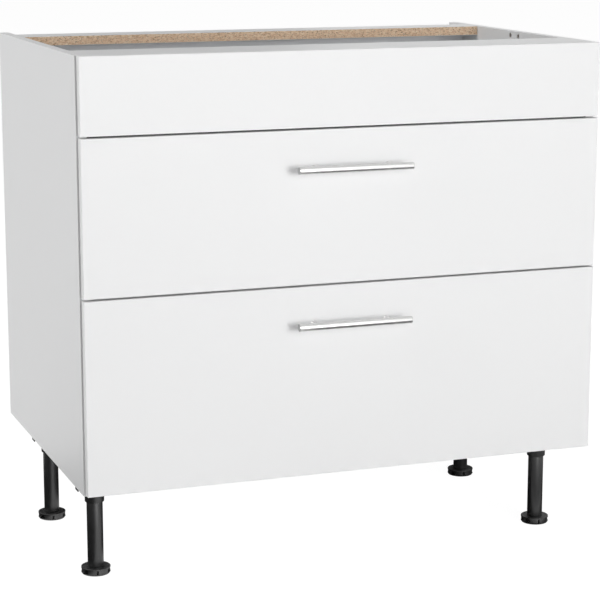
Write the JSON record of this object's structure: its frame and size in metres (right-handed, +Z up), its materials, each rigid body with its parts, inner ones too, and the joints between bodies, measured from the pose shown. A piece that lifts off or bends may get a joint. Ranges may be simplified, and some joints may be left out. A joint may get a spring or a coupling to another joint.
{
  "type": "kitchen base cabinet with drawers",
  "caption": "Kitchen base cabinet with a fixed blind front above two full-extension drawers with bar handles, open on top for a worktop, on levelling legs.",
  "frame": {"origin": "on the floor under the middle of the whole cabinet, handles included", "axes": "+X to the right seen from the front, +Y from the fronts back to the wall, +Z up"},
  "size_m": [0.9, 0.616, 0.87],
  "materials": {
    "white_board": "white melamine facing, satin",
    "front_board": "white facing, satin, with banded edges",
    "back_board": "thin white-faced fibreboard, matt",
    "zinc_steel": "bright zinc-plated sheet",
    "grey_steel": "light grey powder coat, satin",
    "handle_steel": "brushed along the bar",
    "black_plastic": "moulded, satin"
  },
  "bodies": {
    "carcass": {"side_panel_left": "white_board", "side_panel_right": "white_board", "bottom_panel": "white_board", "back_panel": "back_board", "front_rail": "white_board", "rear_rail": "white_board", "blind_front": "front_board", "blind_bracket_left": "zinc_steel", "blind_bracket_right": "zinc_steel", "front_left_leg_socket": "black_plastic", "front_right_leg_socket": "black_plastic", "rear_left_leg_socket": "black_plastic", "rear_right_leg_socket": "black_plastic", "front_left_leg_tube": "black_plastic", "front_right_leg_tube": "black_plastic", "rear_left_leg_tube": "black_plastic", "rear_right_leg_tube": "black_plastic", "upper_runner_cabinet_member_left": "zinc_steel", "upper_runner_cabinet_member_right": "zinc_steel", "lower_runner_cabinet_member_left": "zinc_steel", "lower_runner_cabinet_member_right": "zinc_steel"},
    "front_left_foot_body": {"front_left_foot": "black_plastic"},
    "front_right_foot_body": {"front_right_foot": "black_plastic"},
    "rear_left_foot_body": {"rear_left_foot": "black_plastic"},
    "rear_right_foot_body": {"rear_right_foot": "black_plastic"},
    "upper_runner_middle": {"upper_runner_middle_member_left": "zinc_steel", "upper_runner_middle_member_right": "zinc_steel"},
    "lower_runner_middle": {"lower_runner_middle_member_left": "zinc_steel", "lower_runner_middle_member_right": "zinc_steel"},
    "upper_drawer": {"upper_runner_drawer_member_left": "zinc_steel", "upper_runner_drawer_member_right": "zinc_steel", "upper_front": "front_board", "upper_handle_bar": "handle_steel", "upper_handle_post_left": "handle_steel", "upper_handle_post_right": "handle_steel", "upper_box_bottom": "white_board", "upper_box_back": "white_board", "upper_box_side_left": "grey_steel", "upper_box_side_right": "grey_steel", "upper_gallery_rail_left": "grey_steel", "upper_gallery_rail_right": "grey_steel", "upper_front_connector_left": "zinc_steel", "upper_front_connector_right": "zinc_steel"},
    "lower_drawer": {"lower_runner_drawer_member_left": "zinc_steel", "lower_runner_drawer_member_right": "zinc_steel", "lower_front": "front_board", "lower_handle_bar": "handle_steel", "lower_handle_post_left": "handle_steel", "lower_handle_post_right": "handle_steel", "lower_box_bottom": "white_board", "lower_box_back": "white_board", "lower_box_side_left": "grey_steel", "lower_box_side_right": "grey_steel", "lower_gallery_rail_left": "grey_steel", "lower_gallery_rail_right": "grey_steel", "lower_front_connector_left": "zinc_steel", "lower_front_connector_right": "zinc_steel"}
  },
  "joints": [
    {"name": "upper_drawer_slide", "type": "slide", "parent": "carcass", "child": "upper_drawer", "axis": [0, -1, 0], "range_m": [0, 0.43]},
    {"name": "upper_runner_slide", "type": "slide", "parent": "carcass", "child": "upper_runner_middle", "axis": [0, -1, 0], "range_m": [0, 0.215]},
    {"name": "lower_drawer_slide", "type": "slide", "parent": "carcass", "child": "lower_drawer", "axis": [0, -1, 0], "range_m": [0, 0.43]},
    {"name": "lower_runner_slide", "type": "slide", "parent": "carcass", "child": "lower_runner_middle", "axis": [0, -1, 0], "range_m": [0, 0.215]},
    {"name": "front_left_foot_screw", "type": "slide", "parent": "carcass", "child": "front_left_foot_body", "axis": [0, 0, 1], "range_m": [-0.025, 0]},
    {"name": "front_right_foot_screw", "type": "slide", "parent": "carcass", "child": "front_right_foot_body", "axis": [0, 0, 1], "range_m": [-0.025, 0]},
    {"name": "rear_left_foot_screw", "type": "slide", "parent": "carcass", "child": "rear_left_foot_body", "axis": [0, 0, 1], "range_m": [-0.025, 0]},
    {"name": "rear_right_foot_screw", "type": "slide", "parent": "carcass", "child": "rear_right_foot_body", "axis": [0, 0, 1], "range_m": [-0.025, 0]}
  ],
  "couplings": [
    {"joint": "upper_runner_slide", "follows": "upper_drawer_slide", "ratio": 0.5},
    {"joint": "lower_runner_slide", "follows": "lower_drawer_slide", "ratio": 0.5}
  ]
}
